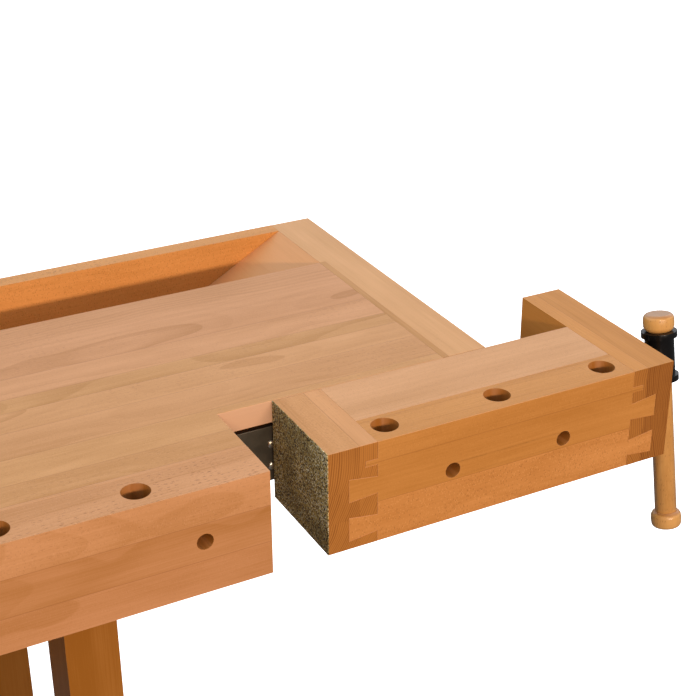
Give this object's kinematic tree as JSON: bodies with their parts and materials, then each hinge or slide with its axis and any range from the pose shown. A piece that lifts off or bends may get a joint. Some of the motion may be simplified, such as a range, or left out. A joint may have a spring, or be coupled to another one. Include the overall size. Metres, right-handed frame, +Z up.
{
  "type": "children's joiner's workbench",
  "caption": "Child-size beech joiner's bench on two trestles, with a tool tray, a dovetailed tail vise lined with cork and rubber, a front vise and rows of round dog holes.",
  "frame": {"origin": "on the floor, at the middle of the whole bench's box seen from above", "axes": "+X along the bench towards the tail vise, +Y from the front to the back, +Z up"},
  "size_m": [1.3617, 0.6294, 0.6509],
  "materials": {
    "beech": "oiled, satin",
    "beech_strip": "oiled, satin",
    "plywood": "oiled, satin",
    "cork_rubber": "granular, matt",
    "black_iron": "black, semi-gloss",
    "dark_steel": "dark, dull",
    "bright_screws": "yellow zinc",
    "steel": "turned",
    "lacquered_beech": "turned and lacquered, glossy",
    "foot_rubber": "matt"
  },
  "bodies": {
    "bench": {"worktop_panel": "beech", "front_apron": "beech", "notch_block": "beech", "end_cap_right": "beech", "end_cap_left": "beech", "end_cap_strip_right": "beech_strip", "end_cap_strip_left": "beech_strip", "back_rail": "beech", "tray_front_rail": "beech", "tray_floor": "plywood", "tray_ramp_right": "beech", "tray_ramp_left": "beech", "tray_screws": "bright_screws", "guide_beam": "beech", "guide_plate": "dark_steel", "guide_plate_screws": "bright_screws", "tail_nut": "black_iron", "tail_nut_bolts": "bright_screws", "front_nut_plate": "black_iron", "front_nut_plate_screws": "bright_screws", "stretcher_bolts": "bright_screws", "barrel_nuts": "bright_screws", "foot_pads": "foot_rubber", "bearer_screws": "bright_screws", "bearer_right": "beech", "foot_right": "beech", "leg_front_right": "beech", "leg_back_right": "beech", "bearer_left": "beech", "foot_left": "beech", "leg_front_left": "beech", "leg_back_left": "beech", "stretcher_front": "beech", "stretcher_back": "beech"},
    "tail_vise": {"tail_jaw": "beech", "tail_jaw_lining": "cork_rubber", "tail_front_rail": "beech", "tail_arm": "beech", "tail_cover": "beech", "tail_runner_upper": "dark_steel", "tail_runner_lower": "dark_steel", "tail_runner_bolts": "bright_screws", "tail_thrust_plate": "black_iron", "tail_thrust_screws": "bright_screws"},
    "tail_screw": {"tail_spindle": "steel", "tail_hub": "black_iron", "tail_retaining_ring": "steel"},
    "tail_handle": {"tail_handle_bar": "lacquered_beech", "tail_handle_knob_top": "lacquered_beech", "tail_handle_knob_bottom": "lacquered_beech"},
    "front_vise": {"front_jaw": "beech", "front_guide_rods": "steel", "front_thrust_plate": "black_iron", "front_thrust_screws": "bright_screws"},
    "front_screw": {"front_spindle": "steel", "front_hub": "black_iron"},
    "front_handle": {"front_handle_bar": "lacquered_beech", "front_handle_knob_top": "lacquered_beech", "front_handle_knob_bottom": "lacquered_beech"}
  },
  "joints": [
    {"name": "tail_vise_slide", "type": "slide", "parent": "bench", "child": "tail_vise", "axis": [1, 0, 0], "range_m": [-0.0529, 0.0501]},
    {"name": "tail_screw_turn", "type": "hinge", "parent": "tail_vise", "child": "tail_screw", "pos_m": [0.66275, -0.11085, 0.606], "axis": [1, 0, 0], "range_deg": [-3804, 3600]},
    {"name": "tail_handle_slide", "type": "slide", "parent": "tail_screw", "child": "tail_handle", "axis": [0, 0.2028, 0.9792], "range_m": [0, 0.143]},
    {"name": "front_vise_slide", "type": "slide", "parent": "bench", "child": "front_vise", "axis": [0, -1, 0], "range_m": [-0.0296, 0.0701]},
    {"name": "front_screw_turn", "type": "hinge", "parent": "front_vise", "child": "front_screw", "pos_m": [-0.54585, -0.29665, 0.589], "axis": [0, -1, 0], "range_deg": [-2124, 5040]},
    {"name": "front_handle_slide", "type": "slide", "parent": "front_screw", "child": "front_handle", "axis": [0, 0, 1], "range_m": [0, 0.143]}
  ],
  "couplings": [
    {"joint": "tail_vise_slide", "follows": "tail_screw_turn", "m_per_rad": 0.00079577},
    {"joint": "front_vise_slide", "follows": "front_screw_turn", "m_per_rad": 0.00079577}
  ]
}
